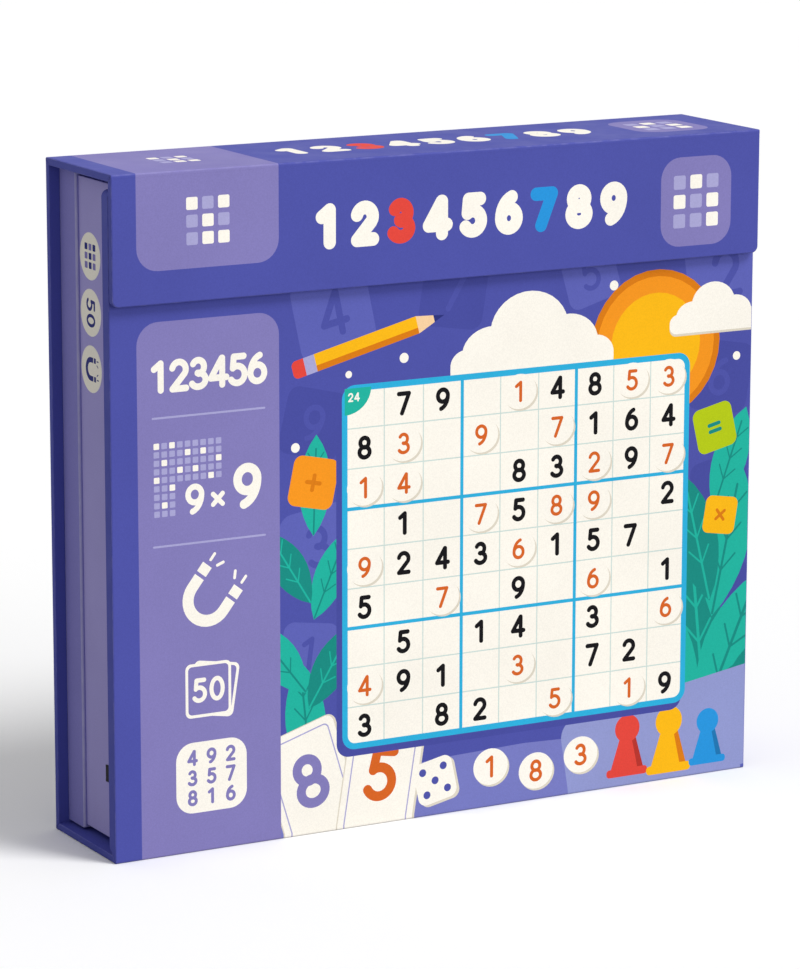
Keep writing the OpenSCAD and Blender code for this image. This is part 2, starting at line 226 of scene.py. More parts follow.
# Plain digits and signs, as centre lines in a box one unit high
GLYPH_W = 0.62
SIX = [
    arc(0.31, 0.31, 0.29, 0.31, 90, 270), arc(0.31, 0.31, 0.29, 0.31, -90, 90),
    arc(0.55, 0.31, 0.53, 0.69, 180, 105)
]
EIGHT_RINGS = ((0.755, 0.24, 0.245), (0.265, 0.29, 0.265))
GLYPHS = {
    0: [arc(0.31, 0.5, 0.3, 0.5, 90, 270), arc(0.31, 0.5, 0.3, 0.5, -90, 90)],
    1: [[(0.1, 0.8), (0.37, 1)], [(0.37, 1), (0.37, 0)]],
    2: [arc(0.31, 0.71, 0.28, 0.29, 165, -30) + [(0.04, 0)], [(0.04, 0), (0.6, 0)]],
    3: [arc(0.29, 0.745, 0.24, 0.255, 150, -85), arc(0.29, 0.26, 0.3, 0.26, 95, -150)],
    4: [[(0.47, 0), (0.47, 1)], [(0.45, 1), (0, 0.27)], [(0, 0.27), (0.64, 0.27)]],
    5: [[(0.55, 1), (0.14, 1)], [(0.14, 1), (0.1, 0.57)], arc(0.28, 0.32, 0.31, 0.32, 125, -145)],
    6: SIX,
    7: [[(0.02, 1), (0.6, 1)], [(0.6, 1), (0.2, 0)]],
    8: [arc(0.31, y, rx, ry, a, a + 180) for y, rx, ry in EIGHT_RINGS for a in (90, 270)],
    9: [[(GLYPH_W - x, 1 - y) for x, y in line] for line in SIX],
    "times": [[(0.06, 0.26), (0.56, 0.76)], [(0.06, 0.76), (0.56, 0.26)]],
    "equals": [[(0.04, 0.36), (0.58, 0.36)], [(0.04, 0.66), (0.58, 0.66)]],
    "plus": [[(0.31, 0.2), (0.31, 0.8)], [(0.01, 0.5), (0.61, 0.5)]],
}


# The puzzle: the same orders and places as in the part, so that print and discs agree
N = 9
BLOCK = 3
ROW_ORDER = [0, 2, 1, 4, 3, 5, 8, 6, 7]
COLUMN_ORDER = [1, 0, 2, 5, 4, 3, 7, 8, 6]
DIGIT_ORDER = [7, 2, 9, 4, 1, 6, 3, 8, 5]
# Row by row from the top: o is a disc, p is a printed digit
PUZZLE = [
    ".pp.oppoo", "po.o.oppp", "oo..ppopo",
    ".p.opoo.p", "opppoppp.", "p.o.p.o.p",
    ".p.pp.p.o", "opp.o.pp.", "p.pp.o.op"
]


def cell_digit(row, column, turn=0):
    """Digit of the solved puzzle. Another turn gives another puzzle."""
    shift = BLOCK * (ROW_ORDER[row] % BLOCK) + ROW_ORDER[row] // BLOCK
    return DIGIT_ORDER[(shift + COLUMN_ORDER[column] + turn) % N]


class Pen:
    """Draws on a sheet from a place of its own, turned and scaled."""

    def __init__(self, shapes, place=Matrix.Identity(4)):
        self.shapes = shapes
        self.place = place

    def at(self, x, y, turn=0, scale=1):
        """A pen for the same sheet in another place."""
        turned = Matrix.Rotation(math.radians(turn), 4, "Z")
        moved = Matrix.Translation((x, y, 0)) @ turned @ Matrix.Scale(scale, 4)
        return Pen(self.shapes, self.place @ moved)

    def put(self, ink, points):
        placed = [(self.place @ Vector((x, y, 0)))[:2] for x, y in points]
        self.shapes.append((ink, counter_clockwise(placed)))

    def rect(self, ink, *corners):
        self.put(ink, rect(*corners))

    def round_rect(self, ink, *corners_and_radii):
        self.put(ink, round_rect(*corners_and_radii))

    def ellipse(self, ink, *centre_and_radii):
        self.put(ink, ellipse(*centre_and_radii))

    def stroke(self, ink, points, width):
        self.put(ink, stroke(points, width))

    def glyph(self, ink, sign, x, y, height, weight):
        """A digit or sign centred on a point. Its weight is the line's width as a share of its height."""
        tall = height * (1 - weight)
        for line in GLYPHS[sign]:
            points = [(x + (px - GLYPH_W / 2) * tall, y + (py - 0.5) * tall) for px, py in line]
            self.stroke(ink, points, weight * height)

    def number(self, ink, digits, x, y, height, weight, pitch):
        """Digits side by side, centred on a point. Their pitch is a share of their height."""
        for i, sign in enumerate(digits):
            self.glyph(ink, sign, x + (i - (len(digits) - 1) / 2) * pitch * height, y, height, weight)


class Sheet(Pen):
    """Printed face: flat shapes laid over each other in order, then cut into one thin closed layer."""

    def __init__(self, origin, right, up, outlines, paper):
        super().__init__([(paper, counter_clockwise(points)) for points in outlines])
        self.origin, self.right, self.up = origin, right, up
        self.papers = len(outlines)

    def bands(self, y):
        """Inks along a line across the page, as stretches from left to right."""
        spans = []
        for ink, outline in self.shapes:
            sides = zip(outline, outline[1:] + outline[:1])
            crossed = [(a, b) for a, b in sides if (a[1] > y) != (b[1] > y)]
            hits = sorted(a[0] + (y - a[1]) / (b[1] - a[1]) * (b[0] - a[0]) for a, b in crossed)
            spans += [(x0, x1, ink) for x0, x1 in zip(hits[::2], hits[1::2])]
        left, right, _ = spans[0]
        stops = [left]
        for stop in sorted(x for span in spans for x in span[:2]):
            if stops[-1] + BAND_MIN < stop < right - BAND_MIN:
                stops.append(stop)
        stops.append(right)

        def ink_at(x):
            return [ink for x0, x1, ink in spans if x0 < x < x1][-1]

        return [(x0, x1, ink_at((x0 + x1) / 2)) for x0, x1 in zip(stops, stops[1:])]

    def build(self, name, body, slot="case_paper", thickness=SHEET_T, replaces=()):
        """Makes the layer, its printed face on the plane of the sheet and its back below it."""
        points, faces = [], []
        for _, outline in self.shapes:
            faces.append(list(range(len(points), len(points) + len(outline))))
            points += [Vector(p) for p in outline]
        places, _, cut, _, _, sources = delaunay_2d_cdt(points, [], faces, 1, MERGE, True)
        normal = self.right.cross(self.up)
        mesh = bmesh.new()
        corners = [mesh.verts.new(self.origin + (self.right * p.x + self.up * p.y) * MM) for p in places]
        ink_of = {}
        for face, source in zip(cut, sources):
            if source and min(source) < self.papers:
                ink_of[mesh.faces.new([corners[i] for i in face])] = self.shapes[max(source)][0]
        bmesh.ops.delete(mesh, geom=[v for v in mesh.verts if not v.link_faces], context="VERTS")
        rim = [e for e in mesh.edges if e.is_boundary]
        grown = bmesh.ops.extrude_edge_only(mesh, edges=rim)["geom"]
        low = [g for g in grown if isinstance(g, bmesh.types.BMVert)]
        bmesh.ops.translate(mesh, verts=low, vec=-normal * thickness * MM)
        bmesh.ops.edgeloop_fill(mesh, edges=[e for e in mesh.edges if e.is_boundary])
        bmesh.ops.recalc_face_normals(mesh, faces=mesh.faces)
        paper = self.shapes[0][0]
        inks = [ink_of.get(face, paper) for face in mesh.faces for _ in face.loops]
        data = finished(mesh, name)
        paint(data, inks)
        dress(data, name, body, PRINT, replaces)


# Meshes and objects
def box_of(node):
    """Low corner, high corner and middle of a node."""
    low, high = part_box(node)
    return low, high, (low + high) / 2


def finished(mesh, name):
    """Named mesh data from a working mesh, which is freed."""
    data = bpy.data.meshes.new(name)
    mesh.to_mesh(data)
    mesh.free()
    return data


def paint(data, inks):
    """Gives each corner of the faces its ink."""
    attribute = data.color_attributes.new("ink", "FLOAT_COLOR", "CORNER")
    attribute.data.foreach_set("color", [c for ink in inks for c in ink])


def tube(mesh, loops):
    """Skins a row of loops and closes its ends. Gives the faces along each side, in the loops' order."""
    count = len(loops[0])
    sides = [[] for _ in range(count)]
    for first, second in zip(loops, loops[1:]):
        for i in range(count):
            j = (i + 1) % count
            sides[i].append(mesh.faces.new([first[i], first[j], second[j], second[i]]))
    mesh.faces.new(loops[0])
    mesh.faces.new(loops[-1][::-1])
    bmesh.ops.recalc_face_normals(mesh, faces=mesh.faces)
    return sides


def add_object(name, data):
    obj = bpy.data.objects.new(name, data)
    scene.collection.objects.link(obj)
    return obj


def dress(data, name, body, look, replaces=()):
    """Puts a finished mesh in the scene, on its body, with its look."""
    obj = add_object(name, data)
    data.materials.append(look)
    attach(obj, body)
    if replaces:
        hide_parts(*replaces)
    return obj


# Materials
class Nodes:
    """The nodes of a material or a world."""

    def __init__(self, owner):
        owner.use_nodes = True
        self.owner = owner
        self.tree = owner.node_tree

    def add(self, kind, inputs=None, **settings):
        node = self.tree.nodes.new(kind)
        for key, value in settings.items():
            setattr(node, key, value)
        for key, value in (inputs or {}).items():
            self.feed(node.inputs[key], value)
        return node

    def feed(self, socket, value):
        if isinstance(value, bpy.types.NodeSocket):
            self.tree.links.new(value, socket)
        else:
            socket.default_value = value

    def spread(self, value, low, high, start=0.3, end=0.7):
        """Maps a pattern's usual range to the range from low to high."""
        inputs = {"Value": value, "From Min": start, "From Max": end, "To Min": low, "To Max": high}
        return self.add("ShaderNodeMapRange", inputs).outputs[0]


class Look(Nodes):
    """A procedural material with its shader at hand."""

    def __init__(self, name):
        super().__init__(bpy.data.materials.new(name))
        self.shader = self.tree.nodes["Principled BSDF"]
        self.place = self.add("ShaderNodeTexCoord").outputs["Object"]

    def noise(self, scale, detail=2.0, stretch=(1, 1, 1)):
        mapped = self.add("ShaderNodeMapping", {"Vector": self.place, "Scale": stretch})
        inputs = {"Vector": mapped.outputs[0], "Scale": scale, "Detail": detail}
        return self.add("ShaderNodeTexNoise", inputs).outputs[0]

    def grain(self, scale, detail, *ranges):
        """Noise spread over a range."""
        return self.spread(self.noise(scale, detail), *ranges)

    def times(self, a, b):
        return self.add("ShaderNodeMath", {0: a, 1: b}, operation="MULTIPLY").outputs[0]

    def shaded(self, colour, value):
        """The colour, brightened or darkened by a value round 1."""
        return self.add("ShaderNodeHueSaturation", {"Color": colour, "Value": value}).outputs[0]

    def mix(self, factor, a, b):
        return self.add("ShaderNodeMix", {0: factor, 6: a, 7: b}, data_type="RGBA").outputs[2]

    def attribute(self, name, output):
        return self.add("ShaderNodeAttribute", attribute_name=name).outputs[output]

    def finish(self, colour, roughness, height=None, bump=0.1, bump_depth=0.0001, **constants):
        values = {"Base Color": colour, "Roughness": roughness, **constants}
        if height is not None:
            relief = {"Height": height, "Strength": bump, "Distance": bump_depth}
            values["Normal"] = self.add("ShaderNodeBump", relief).outputs[0]
        for key, value in values.items():
            self.feed(self.shader.inputs[key.replace("_", " ")], value)
        return self.owner


def paper_look(name, colour=None, rough=0.58, wear_and_highlight_range=(0.02, 0.16)):
    """Printed and laminated paper: ink, faint mottle, fine grain, and pale wear on marked edges, which on
    the base tray's rim is a painted highlight.
    """
    look = Look(name)
    ink = look.attribute("ink", "Color") if colour is None else colour
    mottle = look.grain(26, 3, 0.97, 1.03)
    grain = look.grain(2100, 2, 0.955, 1.045)
    printed = look.shaded(ink, look.times(mottle, grain))
    wear_and_highlight_amount = look.grain(260, 5, *wear_and_highlight_range, 0.42, 0.7)
    wear_and_painted_highlight = look.times(look.attribute("wear_and_painted_highlight", "Fac"), wear_and_highlight_amount)
    surface = look.mix(wear_and_painted_highlight, printed, WORN_AND_HIGHLIGHT)
    rough_map = look.grain(90, 3, rough - 0.06, rough + 0.07)
    fibres = look.noise(1500, 3, (1, 1, 0.55))
    return look.finish(surface, rough_map, fibres, 0.12, 0.00006, Specular_IOR_Level=0.07)


def stock_look(name, colour, tones, rough, relief, bump):
    """A plain stock: one or two noises on its colour, uneven gloss and fine relief."""
    look = Look(name)
    value = reduce(look.times, [look.grain(*tone) for tone in tones])
    return look.finish(look.shaded(colour, value), look.grain(*rough), look.noise(*relief), bump, 0.00005)


def card_look(name, colour):
    return stock_look(name, colour, [(700, 3, 0.965, 1.03)], (150, 2, 0.42, 0.55), (1300,), 0.08)


def lining_look():
    look = Look("lining_paper")
    ribs = look.add("ShaderNodeTexWave", {"Vector": look.place, "Scale": 330.0, "Distortion": 0.6})
    tone = look.grain(40, 3, 0.97, 1.03)
    ribbed = look.spread(ribs.outputs[1], 0.98, 1.02, 0, 1)
    colour = look.shaded(srgb("BDB9D8"), look.times(tone, ribbed))
    return look.finish(colour, look.grain(200, 2, 0.6, 0.72), ribs.outputs[1], 0.15, 0.00005)


def ribbon_look():
    look = Look("ribbon_satin")
    weave = look.add("ShaderNodeTexWave", {"Vector": look.place, "Scale": 620.0}, bands_direction="Z")
    tone = look.spread(weave.outputs[1], 0.7, 1.25, 0, 1)
    threads = look.grain(400, 2, 0.9, 1.1)
    colour = look.shaded(srgb("131217"), look.times(tone, threads))
    rough = look.grain(500, 2, 0.5, 0.65)
    return look.finish(colour, rough, weave.outputs[1], 0.1, 0.00003, Specular_IOR_Level=0.15)


def metal_look(name, colour, rough, stretch):
    look = Look(name)
    brushed = look.noise(900, 3, stretch)
    tinted = look.shaded(colour, look.spread(brushed, 0.9, 1.08))
    rough_map = look.spread(brushed, rough - 0.08, rough + 0.1)
    return look.finish(tinted, rough_map, brushed, 0.1, 0.00004, Metallic=1.0)


PRINT = paper_look("printed_paper")
FLECKS = [(900, 3, 0.88, 1.1), (60, 2, 0.95, 1.05)]
SPECKS = [(1600, 1, 0.95, 1.0, 0.25, 0.4), (120, 2, 0.985, 1.015)]
LOOKS = {
    "case_paper": paper_look("case_paper", VIOLET),
    "lining_paper": lining_look(),
    "play_paper": PRINT,
    "greyboard": stock_look("greyboard", srgb("B3ABA0"), FLECKS, (300, 2, 0.84, 0.95), (900, 1), 0.1),
    "tray_paper": paper_look("tray_paper", srgb("A39CD5"), 0.6),
    # The base tray's paper is the tray paper darkened as painted shade for its recess, and its strong wear
    # range paints a pale highlight on its marked rounds
    "base_tray": paper_look("base_tray_paper", srgb("8480C3"), 0.6, (0.5, 0.7)),
    "insert_board": paper_look("insert_paper", srgb("595DAB"), 0.58),
    "card": card_look("card_stock", CREAM),
    "leaflet": card_look("leaflet_paper", LAVENDER),
    "game_sheet": card_look("game_sheet_card", BLUE),
    "ribbon": ribbon_look(),
    "disc": stock_look("disc_plastic", srgb("F7F1E4"), SPECKS, (260, 3, 0.32, 0.44), (900, 2), 0.06),
    "steel": metal_look("steel_sheet", srgb("9A9DA3"), 0.38, (1, 1, 0.04)),
    "magnet": metal_look("nickel_magnet", srgb("C2C3C6"), 0.25, (1, 1, 1)),
}


# Softened copies of solids
def solid_copy(node):
    """A node's mesh with its flat faces whole, ready for rounding."""
    mesh = bmesh.new()
    mesh.from_mesh(frame["nodes"][node].data)
    bmesh.ops.remove_doubles(mesh, verts=mesh.verts, dist=MERGE * MM)
    bmesh.ops.dissolve_limit(mesh, angle_limit=math.radians(FLAT_ANGLE), verts=mesh.verts, edges=mesh.edges)
    mesh.normal_update()
    return mesh


def round_edges(mesh, edges, radius, segments):
    """Rounds the edges and gives the faces of the rounds."""
    made = bmesh.ops.bevel(
        mesh, geom=edges, offset=radius * MM, segments=segments, profile=0.5, affect="EDGES",
        clamp_overlap=False)
    return made["faces"]


def round_rim(mesh, node, radius):
    """Rounds the outer edges of a tray's rim, which faces the front."""
    low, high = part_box(node)

    def lies_on(edge, axis, value):
        return all(abs(vert.co[axis] - value) < NEAR * MM for vert in edge.verts)

    rim = [edge for edge in mesh.edges if lies_on(edge, 1, low.y) and any(
        lies_on(edge, axis, corner[axis]) for axis in (0, 2) for corner in (low, high))]
    round_edges(mesh, rim, radius, RIM_SEGMENTS)
    mesh.normal_update()


def paint_rim_highlight(mesh, node, radius):
    """Marks the round of a tray's rim for a painted highlight in the pale worn tone, where the rim would
    otherwise fall into shade.
    """
    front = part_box(node)[0].y
    wear_and_painted_highlight = mesh.verts.layers.float["wear_and_painted_highlight"]
    for vert in mesh.verts:
        if NEAR < (vert.co.y - front) / MM < radius - NEAR:
            vert[wear_and_painted_highlight] = 1.0


def soften(mesh, radius):
    """Rounds the sharp outer edges between faces that are wide enough, and marks the rounds for wear."""
    sharp = []
    for edge in mesh.edges:
        if len(edge.link_faces) != 2 or not edge.is_convex:
            continue
        width = min(face.calc_area() for face in edge.link_faces) / edge.calc_length()
        if edge.calc_face_angle() >= math.radians(SHARP_ANGLE) and width > FACE_RADII * radius * MM:
            sharp.append(edge)
    rounds = set(round_edges(mesh, sharp, radius, EDGE_SEGMENTS))
    wear_and_painted_highlight = mesh.verts.layers.float.new("wear_and_painted_highlight")
    for vert in mesh.verts:
        vert[wear_and_painted_highlight] = 1.0 if vert.link_faces and all(face in rounds for face in vert.link_faces) else 0.0


def cut_square(mesh, place, outward):
    """Takes off what lies outward of a plane and closes the cut."""
    geometry = mesh.verts[:] + mesh.edges[:] + mesh.faces[:]
    bmesh.ops.bisect_plane(
        mesh, geom=geometry, dist=PLANE_NEAR * MM, plane_co=place, plane_no=outward, clear_outer=True)
    rim = [edge for edge in mesh.edges if edge.is_boundary]
    bmesh.ops.edgeloop_fill(mesh, edges=rim)
    bmesh.ops.recalc_face_normals(mesh, faces=mesh.faces)


def soft_piece(mesh, node, look=None):
    """A rounded solid in the place of its node, with the look of its slot or with another."""
    for face in mesh.faces:
        face.smooth = True
    name = node + "_soft"
    body = frame["nodes"][node]["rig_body"]
    slot = slots[node]
    obj = dress(finished(mesh, name), name, body, LOOKS[look or slot], [node])
    obj.modifiers.new("even_shading", "WEIGHTED_NORMAL").weight = 100


# Boards of the case: fold line, direction along the board and direction into it
class Board:
    def __init__(self, node, fold, along, inward, far_fold=None):
        self.node, self.corner, self.along, self.inward = node, FOLDS[fold], along, inward
        low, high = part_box(node)
        reach = max((low - self.corner).dot(along), (high - self.corner).dot(along))
        self.far_fold = far_fold is not None
        self.length = (FOLDS[far_fold] - self.corner).length if far_fold else reach

    def paper(self):
        """The wrap with its outer face lowered to take the print, cut square at its folds and rounded."""
        mesh = solid_copy(self.node)
        near = FACE_NEAR * MM
        lower = (SHEET_T + SHEET_DEPTH) * MM
        for vert in mesh.verts:
            way = vert.co - self.corner
            if way.dot(self.inward) > near / 2:
                continue
            vert.co += self.inward * lower
            at = way.dot(self.along)
            if at < near:
                vert.co += self.along * lower
            elif self.far_fold and at > self.length - near:
                vert.co -= self.along * lower
        cuts = [(MITRE_CUT * MM, -self.along)]
        if self.far_fold:
            cuts.append((self.length - MITRE_CUT * MM, self.along))
        for at, outward in cuts:
            cut_square(mesh, self.corner + self.along * at, outward)
        soften(mesh, EDGE_R)
        soft_piece(mesh, self.node)

    def sheet(self, origin, right, up, low, high, low_r=0, high_r=0):
        """A printed sheet over the outer face, between two places along the page's up direction."""
        half = CASE_W / 2 - EDGE_MARGIN
        plane = origin + self.inward * SHEET_DEPTH * MM
        return Sheet(plane, right, up, [round_rect(-half, low, half, high, low_r, high_r)], VIOLET)


def fold_strip(name, parent, child, corner, one, other, bands):
    """Paper round a fold, from a margin on one face to a margin on the other, which bends with the fold."""
    half = CASE_W / 2
    rings = [(side * (half - EDGE_R + EDGE_R * math.sin(a)), EDGE_R * (1 - math.cos(a)))
             for side in (-1, 1) for a in (0, math.pi / 8, math.pi / 4, 3 * math.pi / 8)]
    rings += [(x, 0) for x in {x for band in bands for x in band[:2]}]
    rings.sort()
    margin = [FOLD_MARGIN, FOLD_MARGIN - RIM_STEP]
    angles = [math.pi / 2 * i / FOLD_SEGMENTS for i in range(FOLD_SEGMENTS + 1)]

    def profile(depth):
        """Line of the strip at a depth under the faces, as distances from the corner along each face."""
        flat = SHEET_DEPTH + depth
        r = FOLD_R - depth
        centre = FOLD_R + SHEET_DEPTH
        curve = [(centre - r * math.sin(a), centre - r * math.cos(a)) for a in angles]
        return [(a, flat) for a in margin] + curve + [(flat, a) for a in margin[::-1]]

    mesh = bmesh.new()
    wear_and_painted_highlight = mesh.verts.layers.float.new("wear_and_painted_highlight")
    loops = []
    for x, depth in rings:
        outer = profile(depth)
        inner = profile(depth + SHEET_T)[::-1]
        loop = []
        for i, (a, b) in enumerate(outer + inner):
            vert = mesh.verts.new(corner + X * x * MM + (one * a + other * b) * MM)
            vert[wear_and_painted_highlight] = 1.0 if len(margin) < i < len(margin) + FOLD_SEGMENTS else 0.0
            loop.append(vert)
        loops.append(loop)
    for side in tube(mesh, loops)[:len(outer) - 1]:
        for face in side:
            face.smooth = True
    data = finished(mesh, name)
    inks = []
    for polygon in data.polygons:
        x = polygon.center.x / MM
        ink = next((band[2] for band in bands if band[0] < x < band[1]), VIOLET)
        inks += [ink] * polygon.loop_total
    paint(data, inks)
    data.materials.append(PRINT)
    obj = add_object(name, data)
    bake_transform(obj, parent, child, start=corner + one * MM, end=corner + other * MM)


# Motifs of the print
DISC_WEIGHT = 0.16
CARD_COUNT = [5, 0]
TAG_TYPE = {"height": 3.2, "weight": 0.18, "pitch": 0.78}


def sudoku(pen, x0, y0, x1, y1, turn=0, discs=True):
    """A framed grid with block lines, thin cell lines, printed digits and, if wanted, printed discs."""
    frame_w, block_w, line_w = 2.2, 1.3, 0.45
    outer_r, inner_r = 5, 3
    digit_share, weight, disc_share = 0.6, 0.19, 0.445
    cell_w, cell_h = (x1 - x0) / N, (y1 - y0) / N
    half = frame_w / 2
    pen.round_rect(BLUE, x0 - half, y0 - half, x1 + half, y1 + half, outer_r)
    pen.round_rect(CREAM, x0 + half, y0 + half, x1 - half, y1 - half, inner_r)
    for i in sorted(range(1, N), key=lambda i: i % BLOCK == 0):
        wide, ink = (line_w, CELL_LINE) if i % BLOCK else (block_w, BLUE)
        x, y = x0 + i * cell_w, y0 + i * cell_h
        pen.rect(ink, x - wide / 2, y0 + half, x + wide / 2, y1 - half)
        pen.rect(ink, x0 + half, y - wide / 2, x1 - half, y + wide / 2)
    for row, kinds in enumerate(PUZZLE):
        for column, kind in enumerate(kinds):
            x, y = x0 + (column + 0.5) * cell_w, y1 - (row + 0.5) * cell_h
            digit = cell_digit(row, column, turn)
            if kind == "p":
                pen.glyph(BLACK, digit, x, y, digit_share * cell_h, weight)
            elif kind == "o" and discs:
                number_disc(pen, digit, x, y, disc_share * cell_w, disc_share * cell_h)


def number_disc(pen, digit, x, y, rx, ry):
    """A printed disc with its soft shade and its digit."""
    pen.ellipse(SHADE, x + 0.09 * rx, y - 0.11 * ry, rx, ry)
    pen.ellipse(CREAM, x, y, rx, ry)
    pen.glyph(RUST, digit, x, y, 1.22 * ry, DISC_WEIGHT)


def tile(pen, ink, mark, sign, x, y, size, turn):
    """A rounded square with a sign on it."""
    own = pen.at(x, y, turn)
    half = size / 2
    own.round_rect(ink, -half, -half, half, half, 0.18 * size)
    own.glyph(mark, sign, 0, 0, 0.56 * size, 0.15)


def leaf(pen, ink, vein, x, y, length, width, turn):
    """A pointed leaf that grows from a point, with a midrib and side veins."""
    own = pen.at(x, y, turn)
    upper = [(length * t / 10, width / 2 * math.sin(math.pi * t / 10) ** 0.8) for t in range(11)]
    own.put(ink, upper + [(a, -b) for a, b in upper[1:-1]][::-1])
    own.stroke(vein, [(0.02 * length, 0), (0.86 * length, 0)], 0.05 * width)
    for t in (0.3, 0.5, 0.7):
        for side in (-1, 1):
            own.stroke(vein, [(t * length, 0), ((t + 0.12) * length, side * 0.24 * width)], 0.035 * width)


def die(pen, x, y, size, turn, pips):
    """A cream die seen square on, with a shaded side and its pips."""
    own = pen.at(x, y, turn)
    half = size / 2
    drop, corner_r, step = 0.06 * size, 0.2 * size, 0.27 * size
    own.round_rect(SHADE, -half + drop, -half - drop, half + drop, half - drop, corner_r)
    own.round_rect(CREAM, -half, -half, half, half, corner_r)
    for column, row in pips:
        own.ellipse(VIOLET, column * step, row * step, 0.09 * size)


def pencil(pen, x, y, length, width, turn):
    """A pencil lying flat: end cap, band, two-tone body, cut wood and lead."""
    own = pen.at(x, y, turn)
    half = width / 2
    band, body, tip = 0.11 * length, 0.15 * length, 0.82 * length
    own.round_rect(RED, 0, -half, 0.2 * length, half, 0.3 * width)
    own.rect(MIST, 0.08 * length, -half, band + 0.05 * length, half)
    own.rect(YELLOW, body, -half, tip, half)
    own.rect(AMBER, body, -half, tip, -half + 0.34 * width)
    own.put(PEACH, [(tip, -half), (length, 0), (tip, half)])
    own.put(NAVY, [(0.93 * length, -half * 0.39), (length, 0), (0.93 * length, half * 0.39)])


def pawn(pen, ink, dark, x, y, height):
    """A pawn with a shaded side, drawn one unit high."""
    own = pen.at(x, y, 0, height)
    own.put(dark, [(-0.3, 0), (0.34, 0), (0.16, 0.62), (-0.12, 0.62)])
    own.put(ink, [(-0.34, 0), (0.22, 0), (0.08, 0.62), (-0.14, 0.62)])
    own.round_rect(ink, -0.4, -0.06, 0.4, 0.08, 0.06)
    own.ellipse(ink, 0, 0.76, 0.24)


def number_card(pen, ink, digit, x, y, width, height, turn):
    """A plain card that stands on a point, with a thin border and one digit."""
    own = pen.at(x, y, turn)
    half = width / 2
    own.round_rect(SHADE, -half - 0.5, -0.8, half + 0.9, height + 0.3, 3.4)
    for tone, inset, corner_r in ((CREAM, 0, 3), (MIST, 2.4, 2), (CREAM, 2.9, 1.6)):
        own.round_rect(tone, -half + inset, inset, half - inset, height - inset, corner_r)
    own.glyph(ink, digit, 0, 0.56 * height, 0.44 * height, 0.18)


# Round parts of a cloud: centre and radii
PUFFS = ((-15, 2, 13, 10), (1, 9, 17, 15), (18, 3, 13, 11), (30, -2, 8, 7), (-26, -2, 7, 6))


def cloud(pen, x, y, scale):
    """A cloud of round parts on a flat base, with a shaded edge below."""
    own = pen.at(x, y, 0, scale)
    for ink, drop in ((SHADE, -1.6), (CREAM, 0)):
        for cx, cy, rx, ry in PUFFS:
            own.ellipse(ink, cx, cy + drop, rx, ry)
        own.round_rect(ink, -33, -9 + drop, 38, 2 + drop, 5)


def grid_icon(pen, x, y, size, filled, cells=BLOCK, hidden=(), line=MIST, fill=CREAM):
    """A small grid of rounded cells, some of them filled and some of them left out."""
    own = pen.at(x, y)
    pitch = size / cells
    inner = 0.36 * pitch
    for row in range(cells):
        for column in range(cells):
            if (row, column) in hidden:
                continue
            cx, cy = (column - (cells - 1) / 2) * pitch, ((cells - 1) / 2 - row) * pitch
            ink = fill if (row, column) in filled else line
            own.round_rect(ink, cx - inner, cy - inner, cx + inner, cy + inner, 0.3 * inner)


def magnet_icon(pen, ink, x, y, size, turn):
    """A horseshoe magnet with cut tips and two field lines."""
    own = pen.at(x, y, turn, size)
    reach, half, line_w = 0.36, 0.1, 0.05
    curve = arc(0, 0, reach, reach, 180, 360)
    own.put(ink, [(a * 1.28, b * 1.28) for a, b in curve] + [(a * 0.72, b * 0.72) for a, b in curve[::-1]])
    for side in (-1, 1):
        leg = side * reach
        own.rect(ink, leg - half, 0, leg + half, 0.22)
        own.rect(ink, leg - half, 0.28, leg + half, 0.46)
        own.stroke(ink, [(leg, 0.56), (leg, 0.68)], line_w)
        own.stroke(ink, [(side * 0.2, 0.55), (side * 0.14, 0.65)], line_w)


def cards_icon(pen, x, y, size):
    """Two cards, one behind the other, with their number on the front one."""
    for turn, shift in ((-9, 0.1), (0, 0)):
        own = pen.at(x + shift * size, y, turn, size)
        own.round_rect(CREAM, -0.42, -0.46, 0.42, 0.46, 0.1)
        own.round_rect(LAVENDER, -0.37, -0.41, 0.37, 0.41, 0.07)
    pen.number(CREAM, CARD_COUNT, x, y, 0.42 * size, 0.18, 0.76)


# Panels of the print: left and right edges, from the middle of the case
PANEL = (-120.4, -66.6)
INFO_PANEL = (-119.4, -65.2)
EMBLEM_PANEL = (87.5, 117.4)
EMBLEM_X = 102.4
EMBLEM_SIZE = 21
PANEL_R = 8
PANEL_LOW = 206.4
PANEL_ICON_Z = 222.5
PANEL_ICON_SIZE = 18
RULE_W = 0.7
# Filled cells of the small grids on the panels, as row and column
PANEL_CELLS = {(0, 0), (0, 2), (1, 1), (2, 1), (2, 2)}
EMBLEM_CELLS = {(0, 1), (1, 0), (1, 2), (2, 2)}
# The row of digits on the flap and the top spine
TITLE = list(range(1, N + 1))
TITLE_INKS = {3: RED, 7: SKY}
TITLE_X = 10
TITLE_PITCH = 14.4
TITLE_H = 16
TITLE_WEIGHT = 0.3


def title(pen, y):
    """The nine digits in a row, with one red and one blue among them."""
    for i, digit in enumerate(TITLE):
        x = TITLE_X + (i - (len(TITLE) - 1) / 2) * TITLE_PITCH
        pen.glyph(TITLE_INKS.get(digit, CREAM), digit, x, y, TITLE_H, TITLE_WEIGHT)


def emblem(pen, low, high, y):
    """The plate at the right of the title, with a small grid."""
    left, right = EMBLEM_PANEL
    pen.round_rect(LAVENDER, left, low, right, high, PANEL_R)
    grid_icon(pen, EMBLEM_X, y, EMBLEM_SIZE, EMBLEM_CELLS)


